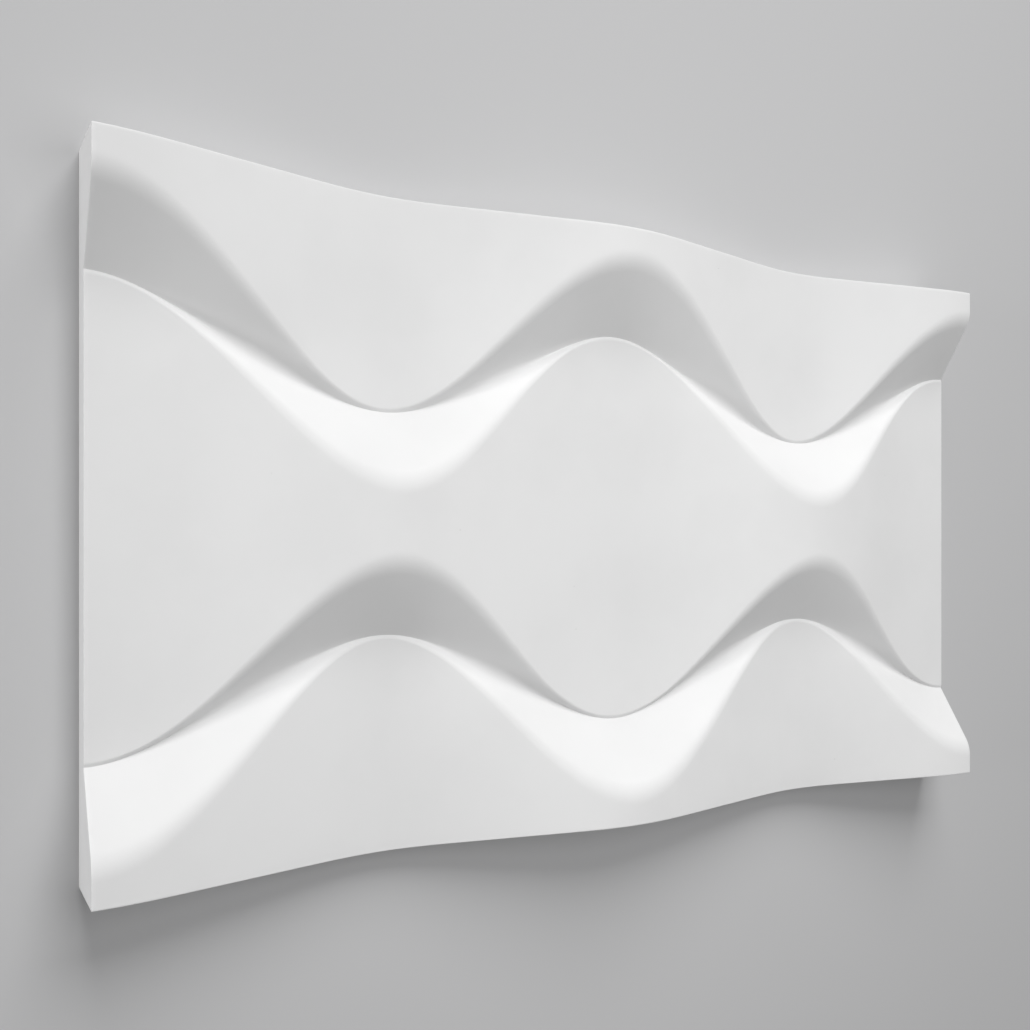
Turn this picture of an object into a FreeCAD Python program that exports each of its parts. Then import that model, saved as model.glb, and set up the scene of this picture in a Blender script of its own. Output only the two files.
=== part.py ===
# Relief wall panel tile, cast in one piece.
# The panel lies on its back. X runs along it, Y is up when it hangs on a wall, Z points out of the wall.
# The origin is the middle of the back face.
import FreeCAD, Part
import math
import os
from enum import IntEnum

import Sketcher

# Driving dimensions, in millimetres unless the note says otherwise
SIZES = [
    ("panel_length", 600.0),     # along X
    ("panel_height", 350.0),     # along Y
    ("base_thickness", 15.0),    # from the back face to the creases
    ("relief_depth", 25.0),      # from the creases to the crests of the outer rows
    ("middle_relief", 23.0),     # from the creases to the crests of the middle row
    ("trough_lip", 0.6),         # how far a row still stands above its crease at its lowest
    ("trough_run", 1.8),         # how wide its sloping side still is there
    ("edge_land", 19.5),         # width of an outer row's face at its crest
    ("crest_land", 43.0),        # width of the middle row's face at its crest
    ("crease_swing", 28.0),      # how far a crease wanders to each side of its mean line
    ("crease_bow", 1.1),         # how far a crease bows inwards half way between crest and trough
    ("crease_dip", 0.7),         # how far its corner dips there, where its rounding is widest
    ("outer_bow", 1.9),          # how far an outer row's brow bows outwards there
    ("middle_bow", 3.2),         # how far the middle row's brow bows outwards there
    ("middle_sag", 1.7),         # how far the middle row sags there
    ("brow_radius", 36.0),       # widest rounding between a row's face and its sloping side
    ("crease_radius", 36.0),     # widest rounding of a crease between two sloping sides
    ("wall_share", 0.25),        # share of a sloping side that one rounding may take up
    ("crest_sharpness", 0.05),   # third harmonic of a sharp wave, as a share: 0 is a plain cosine
    ("wave_count", 2.0),         # waves along the panel, a whole number
]
STATIONS_PER_WAVE = 12           # cross-sections that carry one wave
RUN_OUT = 4                      # cross-sections past each end of the modelled quarter

Spot = IntEnum("Spot", ["START", "END", "CENTRE"])    # the named points of a sketch's lines and curves
Axis = IntEnum("Axis", {"LEVEL": -1, "UPRIGHT": -2})  # the sketch's own axes
ORIGIN = (Axis.LEVEL, Spot.START)                     # and its origin point

doc = FreeCAD.newDocument("wall_panel_tile")

# The sheet of driving dimensions
sheet = doc.addObject("Spreadsheet::Sheet", "sizes")
for row, (alias, value) in enumerate(SIZES, start=1):
    sheet.set(f"A{row}", alias)
    sheet.set(f"B{row}", str(value))
    sheet.setAlias(f"B{row}", alias)
doc.recompute()

body = doc.addObject("PartDesign::Body", "panel_body")
body.Label = "wall_panel"


def origin_plane(role):
    """One of the body's own origin planes."""
    return next(feature for feature in body.Origin.OriginFeatures if feature.Role == role)


def add_sketch(name, plane_role):
    """A sketch on one of those planes."""
    sketch = body.newObject("Sketcher::SketchObject", name)
    sketch.AttachmentSupport = [(origin_plane(plane_role), "")]
    sketch.MapMode = "FlatFace"
    return sketch


def add_rule(sketch, kind, *arguments):
    """A constraint, by its kind and what it holds."""
    return sketch.addConstraint(Sketcher.Constraint(kind, *arguments))


def add_size(sketch, name, expression, kind, *arguments):
    """A named constraint whose value follows an expression."""
    sketch.renameConstraint(add_rule(sketch, kind, *arguments), name)
    sketch.setExpression(f"Constraints.{name}", expression)


# The panel mirrors about both its middle lines, so only its top left quarter is modelled.
# The quarter starts as a plain block, one more relief thicker than the panel, and the relief is cut into it.
BLANK_THICKNESS = "sizes.base_thickness + 2 * sizes.relief_depth"

blank_outline = add_sketch("blank_outline", "XY_Plane")
half_length = sheet.panel_length / 2
half_height = sheet.panel_height / 2
blank_corners = [FreeCAD.Vector(0, 0), FreeCAD.Vector(0, half_height),
                 FreeCAD.Vector(-half_length, half_height), FreeCAD.Vector(-half_length, 0)]
for k, corner in enumerate(blank_corners):
    blank_outline.addGeometry(Part.LineSegment(corner, blank_corners[(k + 1) % 4]), False)
for k in range(4):
    add_rule(blank_outline, "Coincident", k, Spot.END, (k + 1) % 4, Spot.START)
    add_rule(blank_outline, "Horizontal" if k % 2 else "Vertical", k)
add_rule(blank_outline, "Coincident", 0, Spot.START, *ORIGIN)
add_size(blank_outline, "half_height", "sizes.panel_height / 2",
         "DistanceY", 0, Spot.START, 0, Spot.END, half_height)
add_size(blank_outline, "half_length", "sizes.panel_length / 2",
         "DistanceX", 1, Spot.END, 1, Spot.START, half_length)

blank = body.newObject("PartDesign::Pad", "blank")
blank.Profile = blank_outline
blank.setExpression("Length", BLANK_THICKNESS)
doc.recompute()

# The relief has three rows that rise and fall along the panel. The middle row is high where the outer
# rows are low. A crease wanders between them, and from it a side slopes up to each row's flat face.
# A cross-section is a run of straight strips between corners, and each corner is rounded: the brows softly,
# the creases only where both sides are high, so that a crease is sharp wherever a row runs out into it.
CREST_CREASE = "(sizes.panel_height / 4 + sizes.crease_swing)"
TROUGH_CREASE = "(sizes.panel_height / 4 - sizes.crease_swing)"
LIP_LEVEL = "(sizes.base_thickness + sizes.trough_lip)"


def between(phase, crest, trough, bow="0", sharpness="0"):
    """A place or level at a phase in degrees, which is 0 at a crest of the outer rows and 180 at a trough.

    The wave goes from one value to the other, and bows off that course half way.
    """
    wave = f"(cos({phase} deg) + {sharpness} * cos({3 * phase} deg)) / (1 + {sharpness})"
    return f"(({crest} + {trough}) / 2 + ({crest} - {trough}) / 2 * {wave} + {bow} * sin({phase} deg)^2)"


def setback(radius, turn, *wall_lengths):
    """How far a rounding reaches from its corner, kept under its share of each sloping side beside it."""
    limits = " + ".join(f"1 / (sizes.wall_share * {length})" for length in wall_lengths)
    return f"1 / (1 / ({radius} * tan({turn} / 2)) + {limits})"


def section_sizes(phase):
    """The named sizes of one cross-section of the space above the relief, as expressions."""
    outer_y = between(phase, "(sizes.panel_height / 2 - sizes.edge_land)",
                      f"({TROUGH_CREASE} + sizes.trough_run)", "sizes.outer_bow")
    outer_z = between(phase, "(sizes.base_thickness + sizes.relief_depth)",
                      LIP_LEVEL, sharpness="sizes.crest_sharpness")
    crease_y = between(phase, CREST_CREASE, TROUGH_CREASE, "-sizes.crease_bow", "sizes.crest_sharpness")
    crease_z = between(phase, "sizes.base_thickness", "sizes.base_thickness", "-sizes.crease_dip")
    middle_y = between(phase, f"({CREST_CREASE} - sizes.trough_run)",
                       "sizes.crest_land / 2", "sizes.middle_bow")
    middle_z = between(phase, LIP_LEVEL,
                       "(sizes.base_thickness + sizes.middle_relief)", "-sizes.middle_sag")

    outer_run, outer_rise = f"({outer_y} - {crease_y})", f"({outer_z} - {crease_z})"
    middle_run, middle_rise = f"({crease_y} - {middle_y})", f"({middle_z} - {crease_z})"
    outer_turn = f"atan({outer_rise} / {outer_run})"
    middle_turn = f"atan({middle_rise} / {middle_run})"
    outer_wall = f"hypot({outer_rise}; {outer_run})"
    middle_wall = f"hypot({middle_rise}; {middle_run})"
    return {
        "reach": "0.75 * sizes.panel_height",
        "ceiling": "sizes.base_thickness + 3 * sizes.relief_depth",
        "outer_brow_y": outer_y,
        "outer_brow_z": outer_z,
        "outer_brow_setback": setback("sizes.brow_radius", outer_turn, outer_wall),
        "crease_y": crease_y,
        "crease_z": crease_z,
        "crease_setback": setback("sizes.crease_radius", f"({outer_turn} + {middle_turn})",
                                  outer_wall, middle_wall),
        "middle_brow_y": middle_y,
        "middle_brow_z": middle_z,
        "middle_brow_setback": setback("sizes.brow_radius", middle_turn, middle_wall),
    }


# The straight edges of a cross-section in turn: over the relief from the outer row to the middle one, then
# round above it. The section runs past the quarter on every side.
STRAIGHTS = ["ceiling", "far_side", "outer_face", "outer_wall", "middle_wall", "middle_face", "near_side"]
ROUNDINGS = ["outer_brow", "crease", "middle_brow"]   # in turn, the first one after the outer face
FIRST_ROUNDED = STRAIGHTS.index("outer_face")


def section_corners(v):
    """The corners of a cross-section, each at the start of its straight edge."""
    places = [(-v["reach"], v["ceiling"]), (v["reach"], v["ceiling"]), (v["reach"], v["outer_brow_z"]),
              *((v[f"{name}_y"], v[f"{name}_z"]) for name in ROUNDINGS), (-v["reach"], v["middle_brow_z"])]
    return [FreeCAD.Vector(y, z) for y, z in places]


def add_rounding(sketch, line_before, line_after, poles):
    """A parabola that rounds the corner between two lines, and leaves each of them along its own direction.

    Its middle control point is the corner, and is returned.
    """
    curve = sketch.addGeometry(Part.BSplineCurve(poles, None, None, False, 2, None, False), False)
    upwards = FreeCAD.Vector(0, 0, 1)
    plain_weight = 1.0
    controls = [sketch.addGeometry(Part.Circle(pole, upwards, plain_weight), True) for pole in poles]
    add_rule(sketch, "Weight", controls[0], plain_weight)
    for control in controls[1:]:
        add_rule(sketch, "Equal", controls[0], control)
    for k, control in enumerate(controls):
        add_rule(sketch, "InternalAlignment:Sketcher::BSplineControlPoint", control, Spot.CENTRE, curve, k)
    add_rule(sketch, "Coincident", line_before, Spot.END, curve, Spot.START)
    add_rule(sketch, "Coincident", curve, Spot.END, line_after, Spot.START)
    corner = (controls[1], Spot.CENTRE)
    add_rule(sketch, "PointOnObject", *corner, line_before)
    add_rule(sketch, "PointOnObject", *corner, line_after)
    return corner


def add_section(station):
    """A cross-section at one station of the wave, counted from the panel's left end."""
    sketch = add_sketch(f"section_{station + RUN_OUT:02d}", "YZ_Plane")
    along = f"sizes.panel_length * ({station} / ({STATIONS_PER_WAVE} * sizes.wave_count) - 0.5)"
    sketch.setExpression("AttachmentOffset.Base.z", along)

    wanted = section_sizes(360 * station / STATIONS_PER_WAVE)
    v = {name: FreeCAD.Units.Quantity(sketch.evalExpression(text)).Value for name, text in wanted.items()}
    corners = section_corners(v)
    starts = list(corners)
    ends = corners[1:] + corners[:1]
    for k, name in enumerate(ROUNDINGS, start=FIRST_ROUNDED):
        before, corner, after = corners[k:k + 3]
        ends[k] = corner + (before - corner).normalize() * v[f"{name}_setback"]
        starts[k + 1] = corner + (after - corner).normalize() * v[f"{name}_setback"]

    edge = {}
    for name, start, end in zip(STRAIGHTS, starts, ends):
        edge[name] = sketch.addGeometry(Part.LineSegment(start, end), False)
    for k, name in enumerate(STRAIGHTS):
        following = STRAIGHTS[(k + 1) % len(STRAIGHTS)]
        if not FIRST_ROUNDED <= k < FIRST_ROUNDED + len(ROUNDINGS):
            add_rule(sketch, "Coincident", edge[name], Spot.END, edge[following], Spot.START)
    for name in ("outer_face", "middle_face"):
        add_rule(sketch, "Horizontal", edge[name])
    for name in ("far_side", "near_side"):
        add_rule(sketch, "Vertical", edge[name])
    add_rule(sketch, "Symmetric", edge["ceiling"], Spot.START, edge["ceiling"], Spot.END, Axis.UPRIGHT)
    far_corner = (*ORIGIN, edge["ceiling"], Spot.END)
    add_size(sketch, "reach", wanted["reach"], "DistanceX", *far_corner, v["reach"])
    add_size(sketch, "ceiling", wanted["ceiling"], "DistanceY", *far_corner, v["ceiling"])

    for k, name in enumerate(ROUNDINGS, start=FIRST_ROUNDED):
        before, after = edge[STRAIGHTS[k]], edge[STRAIGHTS[k + 1]]
        corner = add_rounding(sketch, before, after, [ends[k], corners[k + 1], starts[k + 1]])
        for size, kind in ((f"{name}_y", "DistanceX"), (f"{name}_z", "DistanceY")):
            add_size(sketch, size, wanted[size], kind, *ORIGIN, *corner, v[size])
        size = f"{name}_setback"
        for side, line, spot in (("before", before, Spot.END), ("after", after, Spot.START)):
            add_size(sketch, f"{size}_{side}", wanted[size], "Distance", *corner, line, spot, v[size])
    return sketch


# One loft through the cross-sections cuts the relief of the quarter
last_station = math.ceil(STATIONS_PER_WAVE * sheet.wave_count / 2)
sections = [add_section(station) for station in range(-RUN_OUT, last_station + RUN_OUT + 1)]
doc.recompute()
relief = body.newObject("PartDesign::SubtractiveLoft", "relief")
relief.Profile = sections[0]
relief.Sections = sections[1:]
doc.recompute()

# The other three quarters are mirror images
for name, plane_role in (("top_half", "YZ_Plane"), ("whole_panel", "XZ_Plane")):
    mirrored = body.newObject("PartDesign::Mirrored", name)
    mirrored.TransformMode = "Whole shape"
    mirrored.MirrorPlane = (origin_plane(plane_role), [""])
    body.Tip = mirrored
    doc.recompute()

# Nothing is written unless the model is whole
for item in doc.Objects:
    if "Invalid" in item.State or "Error" in item.State:
        raise RuntimeError(f"{item.Name} failed: {item.State}")
shape = body.Shape
if shape.isNull() or not shape.isValid() or len(shape.Solids) != 1:
    raise RuntimeError("the panel is not one valid solid")
if relief.Shape.Volume >= blank.Shape.Volume:
    raise RuntimeError("the relief cut nothing")

os.makedirs("parts", exist_ok=True)
shape.exportStep(f"parts/{body.Label}.step")
box = shape.optimalBoundingBox(False, False)
print(f"{body.Label}: {box.XLength:.2f} x {box.YLength:.2f} x {box.ZLength:.2f} mm, "
      f"{shape.Volume / 1e6:.3f} litres, {len(shape.Faces)} faces")
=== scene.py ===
# %% [markdown]
# # A relief wall tile in white gypsum
#
# The object is one cast tile for covering a wall: a slab with a flat back, four square edges and a face of
# three rows that rise and fall in turn. It lies on its back here, as it would on a bench before it is glued
# up, so X runs along the tile, Y is up when it hangs, and Z points out of the wall.
#
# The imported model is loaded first, as a fixed frame in metres. Everything below is drawn around it.

# %% Load the frame
import math

import bmesh
import bpy
from mathutils import Matrix, Vector


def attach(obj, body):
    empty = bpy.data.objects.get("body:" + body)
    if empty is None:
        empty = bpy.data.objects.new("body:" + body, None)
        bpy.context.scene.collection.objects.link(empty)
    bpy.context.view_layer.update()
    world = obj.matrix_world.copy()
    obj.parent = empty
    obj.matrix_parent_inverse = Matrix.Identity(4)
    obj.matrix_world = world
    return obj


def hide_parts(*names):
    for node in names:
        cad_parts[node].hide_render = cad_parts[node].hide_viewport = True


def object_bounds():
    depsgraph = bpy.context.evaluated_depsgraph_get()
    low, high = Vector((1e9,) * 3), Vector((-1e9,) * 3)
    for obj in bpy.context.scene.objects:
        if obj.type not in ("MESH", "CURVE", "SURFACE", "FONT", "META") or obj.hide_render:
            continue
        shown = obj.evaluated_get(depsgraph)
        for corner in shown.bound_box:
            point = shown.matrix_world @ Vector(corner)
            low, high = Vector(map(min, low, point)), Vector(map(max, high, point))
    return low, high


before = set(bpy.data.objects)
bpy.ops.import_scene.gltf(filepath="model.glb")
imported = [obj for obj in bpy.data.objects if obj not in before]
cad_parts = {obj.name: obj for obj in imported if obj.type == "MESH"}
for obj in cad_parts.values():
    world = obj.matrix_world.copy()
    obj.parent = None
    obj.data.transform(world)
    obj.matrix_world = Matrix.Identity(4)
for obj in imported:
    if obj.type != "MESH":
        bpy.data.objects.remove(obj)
cad_low, cad_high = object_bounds()
scene = bpy.context.scene
print("frame:", list(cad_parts), [round(side, 4) for side in cad_high - cad_low])

# %% [markdown]
# ## The sizes of the relief
#
# The length and the height are read from the frame. The other sizes repeat those of the solid, in
# millimetres turned into metres, because the shape below is drawn afresh on an even net of quads: the
# solid's own mesh is loose triangles, and soft light on a matt white face would show every one of them.
# Two things differ. The roundings are a little wider than the solid's, which are kept tight so that its
# facets are few, and the creases dip half a millimetre more beneath them.

# %% Sizes
MM = 0.001
LENGTH = cad_high.x - cad_low.x
HEIGHT = cad_high.y - cad_low.y
WAVES = 2
BASE = 15 * MM
RELIEF = 25 * MM
MIDDLE_RELIEF = 23 * MM
TROUGH_LIP = 0.6 * MM
TROUGH_RUN = 1.8 * MM
EDGE_LAND = 19.5 * MM
CREST_LAND = 43 * MM
CREASE_SWING = 28 * MM
CREST_SHARPNESS = 0.05
print("the creases lie", round(BASE / MM), "mm up and the crests", round((BASE + RELIEF) / MM), "mm")

# %% [markdown]
# ## The wave
#
# Each row swells and sinks along the tile, twice from end to end. A row's level, and the places of its brow
# and its crease, all follow one wave between a value at the outer rows' crest and a value at their trough.
# A plain cosine is a little too round for the creases, so a trace of its third harmonic draws their bends
# tighter. Half way between crest and trough, brows and creases bow off that course by a millimetre or two.

# %% The wave
CREASE_BOW = -1.1 * MM
CREASE_DIP = -1.2 * MM
OUTER_BOW = 1.9 * MM
MIDDLE_BOW = 3.2 * MM
MIDDLE_SAG = -1.7 * MM
CREST_CREASE = HEIGHT / 4 + CREASE_SWING
TROUGH_CREASE = HEIGHT / 4 - CREASE_SWING


def between(x, crest, trough, bow=0.0, sharpness=0.0):
    """A place or level at x, from its value at an outer crest to its value at an outer trough."""
    phase = 2 * math.pi * WAVES * (x / LENGTH + 0.5)
    wave = (math.cos(phase) + sharpness * math.cos(3 * phase)) / (1 + sharpness)
    return (crest + trough) / 2 + (crest - trough) / 2 * wave + bow * math.sin(phase) ** 2


def section_corners(x):
    """The outer brow, the crease and the middle brow at x, as (y, z) before they are rounded."""
    outer_brow = Vector((
        between(x, HEIGHT / 2 - EDGE_LAND, TROUGH_CREASE + TROUGH_RUN, OUTER_BOW),
        between(x, BASE + RELIEF, BASE + TROUGH_LIP, sharpness=CREST_SHARPNESS),
    ))
    crease = Vector((
        between(x, CREST_CREASE, TROUGH_CREASE, CREASE_BOW, CREST_SHARPNESS),
        between(x, BASE, BASE, CREASE_DIP),
    ))
    middle_brow = Vector((
        between(x, CREST_CREASE - TROUGH_RUN, CREST_LAND / 2, MIDDLE_BOW),
        between(x, BASE + TROUGH_LIP, BASE + MIDDLE_RELIEF, MIDDLE_SAG),
    ))
    return outer_brow, crease, middle_brow


for name, corner in zip(("outer brow", "crease", "middle brow"), section_corners(-LENGTH / 2)):
    print("at the left end, the", name, "is at", [round(c / MM, 1) for c in corner], "mm")

# %% [markdown]
# ## One cross-section
#
# Cut the tile across at any place and the outline is made of the same strips, from the top edge to the
# middle line: the outer row's flat face, its rounded brow, a side that slopes down, the crease, a side that
# slopes up, the middle row's brow and its flat face. The lower half mirrors the upper one.
#
# A displaced plane would blur the creases, because its net runs straight across them. Here the net follows
# the strips, so a crease stays crisp where a row runs out into it, and opens into a soft valley where both
# sides are high. Each rounding is a parabola, which leaves both strips along their own direction. A brow
# may take up a share of its sloping side, so it shrinks with the side. A valley lies between two sides and
# goes by their squares, so it closes sooner.

# %% The cross-section
BROW_RADIUS = 40 * MM
BROW_SHARE = 0.35
CREASE_RADIUS = 38 * MM
CREASE_SHARE = 0.5
FULL_SIDE = 20 * MM
FACE_STEPS, BROW_STEPS, WALL_STEPS, CREASE_STEPS = 12, 10, 10, 10


def run(start, end, steps):
    """Points along a straight strip, without its last one."""
    return [start.lerp(end, k / steps) for k in range(steps)]


def rounding(before, corner, after, radius, room):
    """The three control points of a corner's parabola, for which its sides leave so much room."""
    turn = (corner - before).angle(after - corner)
    setback = 1 / (1 / (radius * math.tan(turn / 2)) + 1 / room)
    first = corner.lerp(before, setback / (before - corner).length)
    last = corner.lerp(after, setback / (after - corner).length)
    return first, corner, last


def bend(first, corner, last, steps):
    """Points along a parabola, without its last one."""
    shares = [k / steps for k in range(steps)]
    return [first.lerp(corner, s).lerp(corner.lerp(last, s), s) for s in shares]


def upper_half(x):
    """The (y, z) points of the cross-section at x, from the top edge to the middle line."""
    outer_brow, crease, middle_brow = section_corners(x)
    top_edge = Vector((HEIGHT / 2, outer_brow.y))
    middle_line = Vector((0, middle_brow.y))
    outer_wall = (outer_brow - crease).length
    middle_wall = (middle_brow - crease).length
    valley_room = CREASE_SHARE / FULL_SIDE / (outer_wall ** -2 + middle_wall ** -2)
    outer = rounding(top_edge, outer_brow, crease, BROW_RADIUS, BROW_SHARE * outer_wall)
    valley = rounding(outer_brow, crease, middle_brow, CREASE_RADIUS, valley_room)
    middle = rounding(crease, middle_brow, middle_line, BROW_RADIUS, BROW_SHARE * middle_wall)
    return [
        *run(top_edge, outer[0], FACE_STEPS),
        *bend(*outer, BROW_STEPS),
        *run(outer[2], valley[0], WALL_STEPS),
        *bend(*valley, CREASE_STEPS),
        *run(valley[2], middle[0], WALL_STEPS),
        *bend(*middle, BROW_STEPS),
        *run(middle[2], middle_line, FACE_STEPS),
        middle_line,
    ]


def cross_section(x):
    """The whole section at x, from the bottom edge to the top edge."""
    upper = upper_half(x)
    lower = [Vector((-point.x, point.y)) for point in upper]
    return lower + upper[-2::-1]


points_across = len(cross_section(0))
print("a section has", points_across, "points")

# %% [markdown]
# ## The casting
#
# A flat grid gives the net, and each of its points is moved to its place on the relief. The rim of the grid
# is then drawn down to the floor and closed by the back. Real gypsum never keeps a razor edge, so the outer
# edges are bevelled by half a millimetre: that thin line of light is what makes an edge look solid.

# %% Build the casting
STATIONS = 400
ARRIS = 0.5 * MM
ARRIS_STEPS = 2
SQUARE_ENOUGH = math.radians(50)


def make_casting():
    """The tile as one closed mesh."""
    bm = bmesh.new()
    bmesh.ops.create_grid(bm, x_segments=STATIONS, y_segments=points_across - 1, size=1)
    sections = [cross_section(LENGTH * (i / STATIONS - 0.5)) for i in range(STATIONS + 1)]
    for vert in bm.verts:
        station = round((vert.co.x + 1) / 2 * STATIONS)
        place = round((vert.co.y + 1) / 2 * (points_across - 1))
        y, z = sections[station][place]
        vert.co = (LENGTH * (station / STATIONS - 0.5), y, z)

    rim = [edge for edge in bm.edges if edge.is_boundary]
    skirt = bmesh.ops.extrude_edge_only(bm, edges=rim)["geom"]
    for item in skirt:
        if isinstance(item, bmesh.types.BMVert):
            item.co.z = 0
    foot = [edge for edge in bm.edges if edge.is_boundary]
    bmesh.ops.edgeloop_fill(bm, edges=foot)
    bmesh.ops.recalc_face_normals(bm, faces=bm.faces)

    square = [edge for edge in bm.edges if edge.calc_face_angle(0) > SQUARE_ENOUGH]
    bmesh.ops.bevel(
        bm, geom=square, offset=ARRIS, offset_type="OFFSET", segments=ARRIS_STEPS,
        profile=0.5, affect="EDGES", clamp_overlap=False, material=-1,
    )
    for face in bm.faces:
        face.smooth = True
    mesh = bpy.data.meshes.new("tile_casting")
    bm.to_mesh(mesh)
    bm.free()
    return mesh


casting = bpy.data.objects.new("tile_casting", make_casting())
scene.collection.objects.link(casting)
shading = casting.modifiers.new("even_shading", "WEIGHTED_NORMAL")
shading.keep_sharp = True
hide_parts("wall_panel")
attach(casting, "root")
print("casting:", len(casting.data.polygons), "faces")

# %% [markdown]
# ## Sums in a material
#
# A material here is a handful of sums on noise. Written as nodes one by one they are hard to read, so one
# small class wraps a socket: `a * 0.5 + b` adds the Math nodes, and `node` makes any other node.


# %% A socket that can be used in sums
class Wire:
    """An output socket of a material's node tree."""

    def __init__(self, tree, socket=None):
        self.tree = tree
        self.socket = socket

    def node(self, kind, settings=None, inputs=None, output=0):
        """Adds a node. Settings are set first, then the values or links of its inputs."""
        made = self.tree.nodes.new(kind)
        for name, value in (settings or {}).items():
            setattr(made, name, value)
        for key, value in (inputs or {}).items():
            if isinstance(value, Wire):
                self.tree.links.new(value.socket, made.inputs[key])
            else:
                made.inputs[key].default_value = value
        return Wire(self.tree, made.outputs[output])

    def maths(self, operation, *values):
        """Adds a Math node on these values, which may be numbers or wires."""
        return self.node("ShaderNodeMath", {"operation": operation}, dict(enumerate(values)))

    def __add__(self, other):
        return self.maths("ADD", self, other)

    def __sub__(self, other):
        return self.maths("SUBTRACT", self, other)

    def __rsub__(self, other):
        return self.maths("SUBTRACT", other, self)

    def __mul__(self, other):
        return self.maths("MULTIPLY", self, other)

    __radd__ = __add__
    __rmul__ = __mul__

    def smooth_step(self, low, high):
        """0 below low, 1 above high and an even slide between."""
        settings = {"interpolation_type": "SMOOTHSTEP"}
        return self.node("ShaderNodeMapRange", settings, {"Value": self, "From Min": low, "From Max": high})

    def noise(self, per_metre, detail=2.0, roughness=0.5):
        """Noise around 0.5 with so many lumps to a metre, at this wire's place."""
        inputs = {"Vector": self, "Scale": per_metre, "Detail": detail, "Roughness": roughness}
        return self.node("ShaderNodeTexNoise", None, inputs)

    def blend(self, first, second):
        """A colour between two colours, with this wire as the share of the second."""
        return self.node("ShaderNodeMix", {"data_type": "RGBA"}, {0: self, 6: first, 7: second}, output=2)


print("Wire is ready")

# %% [markdown]
# ## The gypsum
#
# Cast gypsum is a dense, chalky white. It has no gloss, only a trace of a sheen where the mould was smooth.
# Seen close, the white is a little cloudy, there are a few pinholes from air in the mix, and the edges are
# chalkier where they have been handled. The pinholes are greyed as painted shade, for the shade inside
# them. The back is the side that was open in the mould: it is struck off with a straight bar, which leaves
# faint lines along the tile and a rougher skin.
#
# All of it is kept faint, because from across a room the tile is simply white and its shape does the work.

# %% Gypsum material
CHALK_WHITE = (0.80, 0.80, 0.80, 1)
CLOUD_WHITE = (0.77, 0.77, 0.77, 1)
EDGE_WHITE = (0.84, 0.84, 0.84, 1)
BACK_WHITE = (0.70, 0.69, 0.67, 1)
# The pinholes' grey is painted shade, standing in for the shade inside each hole.
PINHOLE_SHADE_GREY = (0.52, 0.52, 0.52, 1)
CLOUDS, SWELLS, CHIPS, STROKES, GRAINS = 14, 45, 160, 260, 900   # lumps of noise to a metre
CLOUD_TONES = 0.35, 0.75
PINHOLE_CELLS = 70.0   # to a metre
BARE_CELLS = 0.80, 0.82   # cells with a tone below this hold no pinhole
PINHOLE_RIM = 0.014, 0.024   # as a share of a cell
WORN_BAND = 1.5 * MM, 4.5 * MM
WORN_WANDER = 4 * MM
BACK_SKIN = 0.1 * MM, 0.6 * MM
STROKE_STRETCH = (0.06, 1.0, 1.0)
EDGE_TINT, BACK_TINT = 0.5, 0.8
GRAIN_HEIGHT, SWELL_HEIGHT, STROKE_HEIGHT, PINHOLE_DEPTH = 0.012, 0.05, 0.25, 0.25   # in millimetres
BUMP_STRENGTH = 0.6
FACE_ROUGHNESS, GRAIN_ROUGHNESS, BACK_ROUGHNESS = 0.86, 0.08, 0.05
FAINT_SHEEN = 0.25


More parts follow.
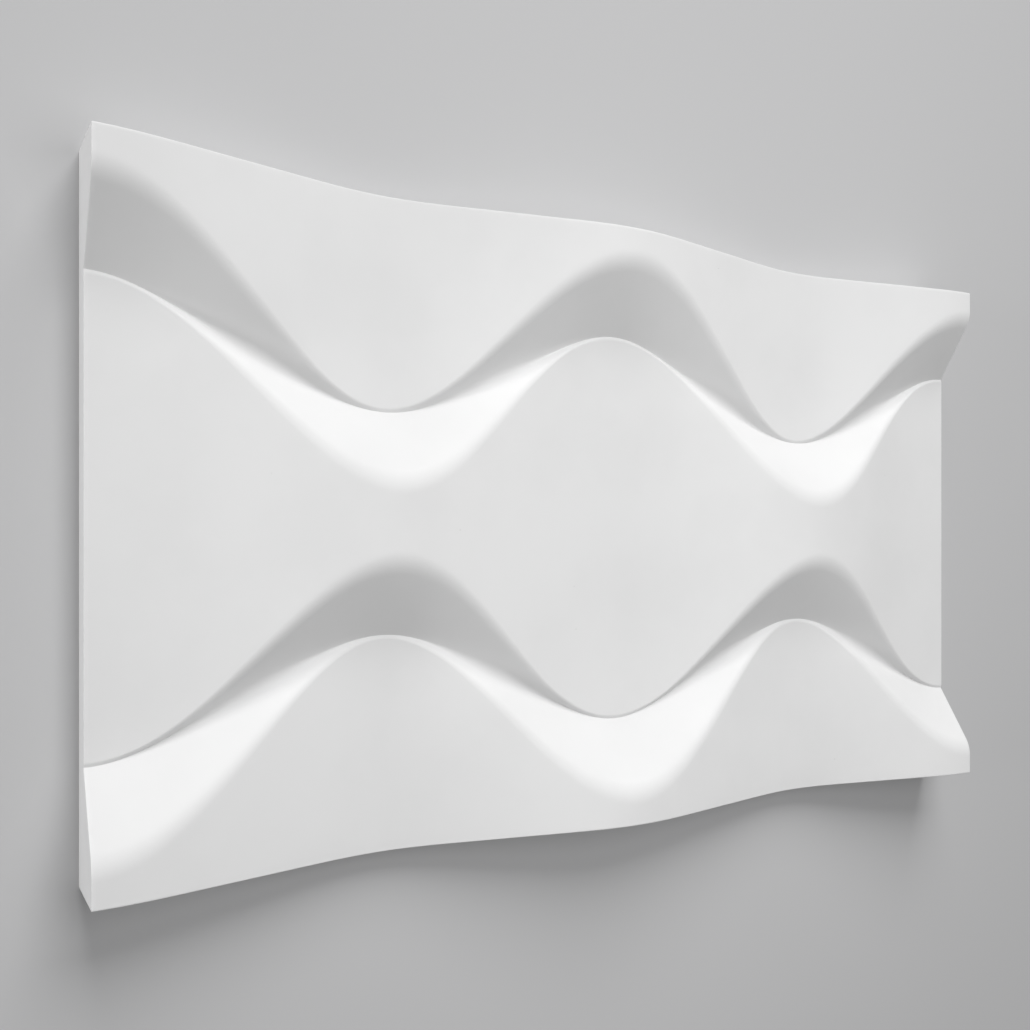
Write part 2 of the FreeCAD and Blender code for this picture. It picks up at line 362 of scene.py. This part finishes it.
def gypsum_material():
    """The white of the casting, with its clouds, pinholes greyed with painted shade, worn edges and
    struck-off back.
    """
    material = bpy.data.materials.new("cast_gypsum")
    material.use_nodes = True
    tree = material.node_tree
    shader = tree.nodes["Principled BSDF"]
    start = Wire(tree)
    place = start.node("ShaderNodeTexCoord", output=3)
    x, y, z = (start.node("ShaderNodeSeparateXYZ", None, {0: place}, output=k) for k in range(3))

    clouds = place.noise(CLOUDS, detail=4).smooth_step(*CLOUD_TONES)
    grain = place.noise(GRAINS, detail=3)
    swell = place.noise(SWELLS, detail=2)

    cells = {"Vector": place, "Scale": PINHOLE_CELLS}
    from_middle = start.node("ShaderNodeTexVoronoi", None, cells)
    cell_tone = start.node("ShaderNodeTexVoronoi", None, cells, output=1)
    chosen = start.node("ShaderNodeSeparateColor", None, {0: cell_tone}).smooth_step(*BARE_CELLS)
    # The pinhole mask: it dents the bump and also greys the colour as painted shade.
    pinhole_pits_and_shade = (1 - from_middle.smooth_step(*PINHOLE_RIM)) * chosen

    from_end = LENGTH / 2 - x.maths("ABSOLUTE", x)
    from_side = HEIGHT / 2 - y.maths("ABSOLUTE", y)
    from_edge = from_end.maths("MINIMUM", from_end, from_side)
    worn = 1 - (from_edge + place.noise(CHIPS, detail=3) * WORN_WANDER).smooth_step(*WORN_BAND)

    back = 1 - z.smooth_step(*BACK_SKIN)
    drawn_out = start.node("ShaderNodeMapping", None, {"Vector": place, "Scale": STROKE_STRETCH})
    strokes = drawn_out.noise(STROKES, detail=4)

    face_colour = clouds.blend(CHALK_WHITE, CLOUD_WHITE)
    face_colour = (worn * EDGE_TINT).blend(face_colour, EDGE_WHITE)
    # Painted shade: the pinholes are greyed for the shade that would fall inside them.
    face_colour = pinhole_pits_and_shade.blend(face_colour, PINHOLE_SHADE_GREY)
    colour = (back * BACK_TINT).blend(face_colour, BACK_WHITE)

    face_height = grain * GRAIN_HEIGHT + swell * SWELL_HEIGHT - pinhole_pits_and_shade * PINHOLE_DEPTH
    height = face_height + back * (strokes * STROKE_HEIGHT)
    relief = {"Strength": BUMP_STRENGTH, "Distance": MM, "Height": height}
    bump = start.node("ShaderNodeBump", None, relief)
    roughness = FACE_ROUGHNESS + grain * GRAIN_ROUGHNESS + back * BACK_ROUGHNESS

    shader.inputs["Specular IOR Level"].default_value = FAINT_SHEEN
    tree.links.new(colour.socket, shader.inputs["Base Color"])
    tree.links.new(roughness.socket, shader.inputs["Roughness"])
    tree.links.new(bump.socket, shader.inputs["Normal"])
    return material


casting.data.materials.append(gypsum_material())
print("gypsum:", len(casting.data.materials[0].node_tree.nodes), "nodes")

# %% [markdown]
# ## The floor and the backdrop
#
# The tile lies on a plain pale floor, a little darker than the gypsum, so that the white outline stands
# clear of it. Far from the tile the floor fades into a plain backdrop, so that no hard horizon shows from a
# low view. Only the rays that show the background see the fade and the backdrop. The rays that carry light
# see the bare floor and a dim even sky, so the backdrop adds no light to the tile.

# %% Floor and backdrop
FLOOR_HALF = 8.0
FLOOR_GREY = (0.56, 0.56, 0.565, 1)
FLOOR_ROUGHNESS, FLOOR_SHEEN = 0.9, 0.1
FADE_FROM, FADE_TO = 0.45, 1.3
SKY = (0.23, 0.23, 0.23, 1)
BACKDROP = (0.50, 0.50, 0.505, 1)


def background_rays(tree):
    """1 for the rays that show the background, and 0 for those that carry light."""
    path = tree.nodes.new("ShaderNodeLightPath").outputs
    kinds = [Wire(tree, path[f"Is {kind} Ray"]) for kind in ("Camera", "Glossy", "Transmission")]
    return kinds[0].maths("MINIMUM", sum(kinds), 1)


def floor_material():
    """Plain pale grey that turns into the backdrop far from the tile."""
    material = bpy.data.materials.new("pale_floor")
    material.use_nodes = True
    tree = material.node_tree
    shader = tree.nodes["Principled BSDF"]
    shader.inputs["Base Color"].default_value = FLOOR_GREY
    shader.inputs["Roughness"].default_value = FLOOR_ROUGHNESS
    shader.inputs["Specular IOR Level"].default_value = FLOOR_SHEEN
    start = Wire(tree)
    place = start.node("ShaderNodeTexCoord", output=3)
    from_tile = start.node("ShaderNodeVectorMath", {"operation": "LENGTH"}, {0: place}, output=1)
    fade = from_tile.smooth_step(FADE_FROM, FADE_TO) * background_rays(tree)
    backdrop = start.node("ShaderNodeEmission", None, {"Color": BACKDROP})
    bare_floor = Wire(tree, shader.outputs[0])
    surface = start.node("ShaderNodeMixShader", None, {0: fade, 1: bare_floor, 2: backdrop})
    tree.links.new(surface.socket, tree.nodes["Material Output"].inputs["Surface"])
    return material


def make_floor():
    """One large square, level with the tile's back."""
    bm = bmesh.new()
    bmesh.ops.create_grid(bm, x_segments=1, y_segments=1, size=FLOOR_HALF)
    mesh = bpy.data.meshes.new("floor")
    bm.to_mesh(mesh)
    bm.free()
    mesh.materials.append(floor_material())
    floor = bpy.data.objects.new("floor", mesh)
    scene.collection.objects.link(floor)


def set_sky():
    """The backdrop as it is seen, and the even sky that lights the tile."""
    world = bpy.data.worlds.new("studio")
    world.use_nodes = True
    scene.world = world
    tree = world.node_tree
    colour = background_rays(tree).blend(SKY, BACKDROP)
    tree.links.new(colour.socket, tree.nodes["Background"].inputs["Color"])


make_floor()
set_sky()
print("floor:", 2 * FLOOR_HALF, "m across")

# %% [markdown]
# ## The lamps
#
# The relief reads by its shading alone, so the light comes mostly from one side: a large soft lamp beyond
# the top edge, about as far up as the slopes are steep. The slopes that face it are the brightest. Those
# that turn away only catch its edge, and go grey without a hard shadow. A small lamp overhead holds up the
# rows' faces, most of all in the middle, and a weak one from the left lights the narrow side.

# %% Lamps
LAMPS = {   # degrees round from +X towards +Y, degrees up, metres away, metres across, watts
    "key_lamp": (86, 34, 3.0, 2.0, 76),
    "top_lamp": (0, 90, 0.7, 0.5, 1.5),
    "left_lamp": (180, 5, 3.0, 0.5, 26),
}


def add_lamp(name, degrees_round, degrees_up, distance, size, watts):
    """A square soft lamp that looks at the tile's middle."""
    lamp = bpy.data.lights.new(name, "AREA")
    lamp.size = size
    lamp.energy = watts
    obj = bpy.data.objects.new(name, lamp)
    round_z = Matrix.Rotation(math.radians(degrees_round), 4, "Z")
    down_from_top = Matrix.Rotation(math.radians(90 - degrees_up), 4, "Y")
    obj.matrix_world = round_z @ down_from_top @ Matrix.Translation((0, 0, distance))
    obj.visible_camera = False
    scene.collection.objects.link(obj)


for name, settings in LAMPS.items():
    add_lamp(name, *settings)
print("lamps:", ", ".join(LAMPS))

# %% [markdown]
# ## The camera
#
# The tile is seen thirty degrees off its face, from the left and a little below its middle, with its short
# sides upright in the picture. As the tile lies down, the camera looks down on it with its top towards +Y.

# %% Camera
CAMERA_AT = Vector((-0.3675, -0.0186, 0.5313))
OFF_FACE = math.radians(30)
LENS_MM, SENSOR_MM = 36.34, 36
RISE_OF_VIEW = 0.0422
NEAREST_SEEN = 0.01


def add_camera():
    """Turned about Y alone, so the tile's short sides stay upright in the picture."""
    data = bpy.data.cameras.new("camera")
    data.sensor_width = SENSOR_MM
    data.lens = LENS_MM
    data.shift_y = RISE_OF_VIEW
    data.clip_start = NEAREST_SEEN
    camera = bpy.data.objects.new("camera", data)
    camera.matrix_world = Matrix.Translation(CAMERA_AT) @ Matrix.Rotation(-OFF_FACE, 4, "Y")
    scene.collection.objects.link(camera)
    scene.camera = camera


add_camera()
scene.view_settings.view_transform = "Standard"
print("camera:", [round(c, 3) for c in CAMERA_AT])
